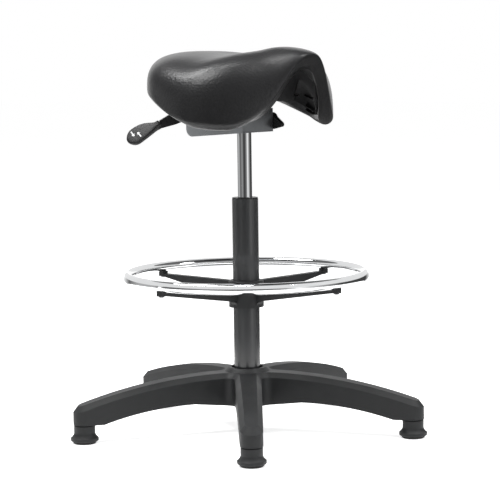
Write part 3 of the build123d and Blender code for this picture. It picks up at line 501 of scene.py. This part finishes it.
# white ink, pad-printed: thin, even, a little greyed by hands; the size of its wear is in mm
inkFinish = {"colour": "#e8e9e9", "worn": "#cfd0d0", "roughness": 0.45, "wear": 3.0}
inkMaterial, tree, shader = startMaterial("padPrintedInk")
place = addNode(tree, "ShaderNodeTexCoord").outputs["Object"]
wear = addNode(tree, "ShaderNodeTexNoise", {"Scale": 1 / (inkFinish["wear"] * mm), "Detail": 3.0},
               {"Vector": place})
tint = addNode(tree, "ShaderNodeMix",
               {"data_type": "RGBA", 6: hexToLinear(inkFinish["worn"]), 7: hexToLinear(inkFinish["colour"])},
               {0: wear.outputs["Fac"]})
tree.links.new(tint.outputs[2], shader.inputs["Base Color"])
shader.inputs["Roughness"].default_value = inkFinish["roughness"]
arrows = {
    "along": (37.0, 46.0), "wide": (-4.0, 5.0), "length": 13.0, "width": 7.0, "stem": 2.4, "headLength": 5.5,
    # top and underside of the ink over the handle, and the least share of the handle's thickness under it
    "lifts": (0.25, 0.05), "leastRise": 0.05,
}
half, stem, wing = arrows["length"] / 2, arrows["stem"] / 2, arrows["width"] / 2
neck = half - arrows["headLength"]
shape = [(-half, -stem), (neck, -stem), (neck, -wing), (half, 0), (neck, wing), (neck, stem), (-half, stem)]
count = len(shape)
points, faces = [], []
for along, wideAt, sense in zip(arrows["along"], arrows["wide"], (1, -1)):
    first = len(points)
    for lift in arrows["lifts"]:
        for across, lean in shape:
            centre, wide, thick = handleSection(along + lean)
            offset = wideAt + across * sense
            share = max(1 - abs(offset / wide) ** handle["square"], arrows["leastRise"])
            rise = thick * share ** (1 / handle["square"])
            points.append(centre + handleWide * offset + handleFace * (rise + lift))
    faces.append(tuple(range(first, first + count)))
    faces.append(tuple(range(first + count, first + 2 * count))[::-1])
    for step in range(count):
        ahead = (step + 1) % count
        faces.append((first + ahead, first + step, first + count + step, first + count + ahead))
arrowPiece = meshPiece("leverArrows", [p * mm for p in points], faces, inkMaterial)
for polygon in arrowPiece.data.polygons:
    polygon.use_smooth = False
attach(arrowPiece, "height_lever")
print("lever handle:", len(handlePiece.data.polygons), "faces")


# Camera where the photograph was taken from: mm and degrees, focal length and middle in pixels of the frame
view = {"turn": -49.1, "distance": 3479.36, "height": 707.77, "pitch": 5.969, "roll": 0.788, "focal": 1853.18,
        "middle": 245.74, "frame": 500, "sensor": 36.0, "farClip": 50.0}
turn, pitch, roll = (math.radians(view[key]) for key in ("turn", "pitch", "roll"))
right = Vector((math.cos(turn), math.sin(turn), 0))
flatAhead = Vector((-math.sin(turn), math.cos(turn), 0))
lookAhead = flatAhead * math.cos(pitch) - up * math.sin(pitch)
lookUp = right.cross(lookAhead)
imageRight = right * math.cos(roll) - lookUp * math.sin(roll)
imageUp = right * math.sin(roll) + lookUp * math.cos(roll)
camera = bpy.data.objects.new("photoCamera", bpy.data.cameras.new("photoCamera"))
scene.collection.objects.link(camera)
camera.data.sensor_width = view["sensor"]
camera.data.lens = view["focal"] / view["frame"] * view["sensor"]
camera.data.shift_x = (view["frame"] / 2 - view["middle"]) / view["frame"]
camera.data.clip_end = view["farClip"]
cameraPlace = up * view["height"] - flatAhead * view["distance"]
cameraTurn = Matrix((imageRight, imageUp, -lookAhead)).transposed().to_4x4()
camera.matrix_world = Matrix.Translation(cameraPlace * mm) @ cameraTurn
scene.camera = camera
print("camera set")


# Pale floor that keeps the shadow, white beyond it, soft lamps, and cards that only mirrors see
def cameraOrGlass(tree, seen):
    return addNode(tree, "ShaderNodeMath", {"operation": "MAXIMUM"},
                   {0: seen.outputs["Is Camera Ray"], 1: seen.outputs["Is Transmission Ray"]}).outputs[0]


# painted board: flat white, with a glow of its own for the camera and a weaker one for mirrors; half size in m
floorFinish = {"colour": "#f4f4f4", "roughness": 0.9, "glow": 0.72, "mirroredGlow": 0.58, "half": 20.0}
floorMaterial, tree, shader = startMaterial("paintedStudioFloor")
shader.inputs["Base Color"].default_value = hexToLinear(floorFinish["colour"])
shader.inputs["Roughness"].default_value = floorFinish["roughness"]
seen = addNode(tree, "ShaderNodeLightPath")
mirroredGlow = addNode(tree, "ShaderNodeMath", {"operation": "MULTIPLY", 1: floorFinish["mirroredGlow"]},
                       {0: seen.outputs["Is Glossy Ray"]})
glow = addNode(tree, "ShaderNodeMath", {"operation": "MULTIPLY_ADD", 1: floorFinish["glow"]},
               {0: cameraOrGlass(tree, seen), 2: mirroredGlow.outputs[0]})
shader.inputs["Emission Color"].default_value = (1, 1, 1, 1)
tree.links.new(glow.outputs[0], shader.inputs["Emission Strength"])
half = floorFinish["half"]
corners = [(-half, -half, 0), (half, -half, 0), (half, half, 0), (-half, half, 0)]
floorPiece = meshPiece("studioFloor", corners, [(0, 1, 2, 3)], floorMaterial)

# brightness of the room: as light on the stool, in mirrors, and to the camera
room = {"dim": 0.32, "mirrored": 0.16, "white": 1.0}
world = bpy.data.worlds.new("studioRoom")
scene.world = world
world.use_nodes = True
tree = world.node_tree
tree.nodes.clear()
seen = addNode(tree, "ShaderNodeLightPath")
dim, mirrored, white = (addNode(tree, "ShaderNodeBackground", {"Color": (1, 1, 1, 1), "Strength": room[key]})
                        for key in ("dim", "mirrored", "white"))
lit = addNode(tree, "ShaderNodeMixShader", {},
              {0: seen.outputs["Is Glossy Ray"], 1: dim.outputs[0], 2: mirrored.outputs[0]})
choice = addNode(tree, "ShaderNodeMixShader", {},
                 {0: cameraOrGlass(tree, seen), 1: lit.outputs[0], 2: white.outputs[0]})
addNode(tree, "ShaderNodeOutputWorld", {}, {"Surface": choice.outputs[0]})

lamps = {
    # place in camera terms (right, towards camera, up) in m, size in m, watts, seen in mirrors
    "overheadFill": ((-0.3, 0.1, 2.8), (2.2, 1.6), 33, False),
    "overheadBox": ((-0.05, 0.02, 2.7), (0.3, 0.3), 6, True),
    "leftBox": ((-0.98, -0.24, 2.45), (0.7, 0.9), 27, True),
    "frontBox": ((-0.66, 0.80, 2.4), (0.9, 0.9), 23, True),
    "rightBox": ((1.2, 0.34, 2.6), (0.3, 0.3), 16, True),
    "sideBox": ((1.45, 0.39, 1.25), (0.35, 0.6), 5, True),
}
lampAim = up * 0.55  # just under the seat
for name, (spot, size, watts, inMirrors) in lamps.items():
    lamp = bpy.data.lights.new(name, "AREA")
    lamp.shape = "RECTANGLE"
    lamp.size, lamp.size_y = size
    lamp.energy = watts
    holder = bpy.data.objects.new(name, lamp)
    scene.collection.objects.link(holder)
    holder.location = right * spot[0] - flatAhead * spot[1] + up * spot[2]
    holder.rotation_euler = (lampAim - holder.location).to_track_quat("-Z", "Y").to_euler()
    holder.visible_glossy = inMirrors
print("lamps:", len(lamps))


def mirrorCard(name, points, faces, material):
    card = meshPiece(name, points, faces, material)
    card.visible_camera = False
    card.visible_diffuse = False
    card.visible_shadow = False
    card.visible_transmission = False
    return card


def cardCircle(radius, height, steps):
    angles = [2 * math.pi * step / steps for step in range(steps)]
    return [Vector((radius * math.cos(angle), radius * math.sin(angle), height)) for angle in angles]


def oneSidedGlow(name, strength, fromBelow):
    # shines on one side and is clear from the other
    material, tree, shader = startMaterial(name)
    facing = addNode(tree, "ShaderNodeNewGeometry")
    clear = addNode(tree, "ShaderNodeBsdfTransparent")
    shine = addNode(tree, "ShaderNodeEmission", {"Color": (1, 1, 1, 1), "Strength": strength})
    front, back = (clear, shine) if fromBelow else (shine, clear)
    choice = addNode(tree, "ShaderNodeMixShader", {},
                     {0: facing.outputs["Backfacing"], 1: front.outputs[0], 2: back.outputs[0]})
    tree.links.new(choice.outputs[0], tree.nodes["Material Output"].inputs["Surface"])
    return material


# woven cotton flags in a ring round the stool, with a hem on the floor, so that the chrome has dark lines to
# mirror: sizes in m, the stretch that stands higher behind, then brightness by degrees from the camera
flags = {
    "hem": 0.95, "hemHeight": 0.004, "radius": 2.6, "top": 1.2, "backTop": 2.1, "back": (130, 155, 205, 225),
    "steps": 72, "strength": 1.25,
    "shades": ((-90, 0.4), (-74, 0.12), (-60, 0.12), (-38, 0.28), (-12, 0.05), (6, 0.05), (26, 0.22), (34, 0.3),
               (46, 0.95), (58, 0.55), (74, 0.3), (92, 0.05), (140, 0.05), (160, 1.0), (205, 1.0), (228, 0.12),
               (248, 0.4)),
}
flagMaterial, tree, shader = startMaterial("cottonFlags")
shader.inputs["Base Color"].default_value = hexToLinear("#000000")
shader.inputs["Roughness"].default_value = 1.0
shader.inputs["Specular IOR Level"].default_value = 0.0
shader.inputs["Emission Strength"].default_value = flags["strength"]
place = addNode(tree, "ShaderNodeTexCoord").outputs["Object"]
around = addNode(tree, "ShaderNodeTexGradient", {"gradient_type": "RADIAL"}, {"Vector": place})
shades = addNode(tree, "ShaderNodeValToRGB", {}, {"Fac": around.outputs["Fac"]})
while len(shades.color_ramp.elements) < len(flags["shades"]):
    shades.color_ramp.elements.new(0.5)
for element, (angle, shade) in zip(shades.color_ramp.elements, flags["shades"]):
    element.position = (angle + 90) / 360
    element.color = (shade, shade, shade, 1)
tree.links.new(shades.outputs["Color"], shader.inputs["Emission Color"])
hem = cardCircle(flags["hem"], flags["hemHeight"], flags["steps"])
foot = cardCircle(flags["radius"], flags["hemHeight"], flags["steps"])
top = []
for step, point in enumerate(foot):
    fromCamera = (360 * step / flags["steps"] + 90) % 360
    share = stretchShare(fromCamera, flags["back"])
    top.append(point + up * (flags["top"] + (flags["backTop"] - flags["top"]) * share))
flagCard = mirrorCard("flags", top + foot + hem, ringFaces(3, flags["steps"]), flagMaterial)
flagCard.rotation_euler = (0, 0, turn)

# glowing white card as a skirt over the foot ring, seen from below by mirrors only: a painted reflection of
# bright light in the chrome ring, in place of the seat's underside and the dim room; radii and height in m
ringGlowCard = {"inner": 0.26, "outer": 1.2, "height": 0.45, "strength": 0.9, "steps": 48}
points = [point for radius in (ringGlowCard["outer"], ringGlowCard["inner"])
          for point in cardCircle(radius, ringGlowCard["height"], ringGlowCard["steps"])]
mirrorCard("ringPaintedReflection", points, ringFaces(2, ringGlowCard["steps"]),
           oneSidedGlow("paintedReflectionGlow", ringGlowCard["strength"], fromBelow=True))

# dim glowing disc under the arch, seen from above by mirrors only: painted shade in the seat's underside,
# standing in for the seat's shadow on the floor that the floor's mirrored glow leaves out; place and radius in m
archShadeCard = {"place": (0.17, -0.12, 0.568), "radius": 0.2, "strength": 0.2, "steps": 32}
points = [Vector(archShadeCard["place"]) + point for point in cardCircle(archShadeCard["radius"], 0, archShadeCard["steps"])]
mirrorCard("archPaintedShade", points, [tuple(range(archShadeCard["steps"]))],
           oneSidedGlow("paintedShadeGlow", archShadeCard["strength"], fromBelow=False))
print("studio set")

bpy.context.view_layer.update()
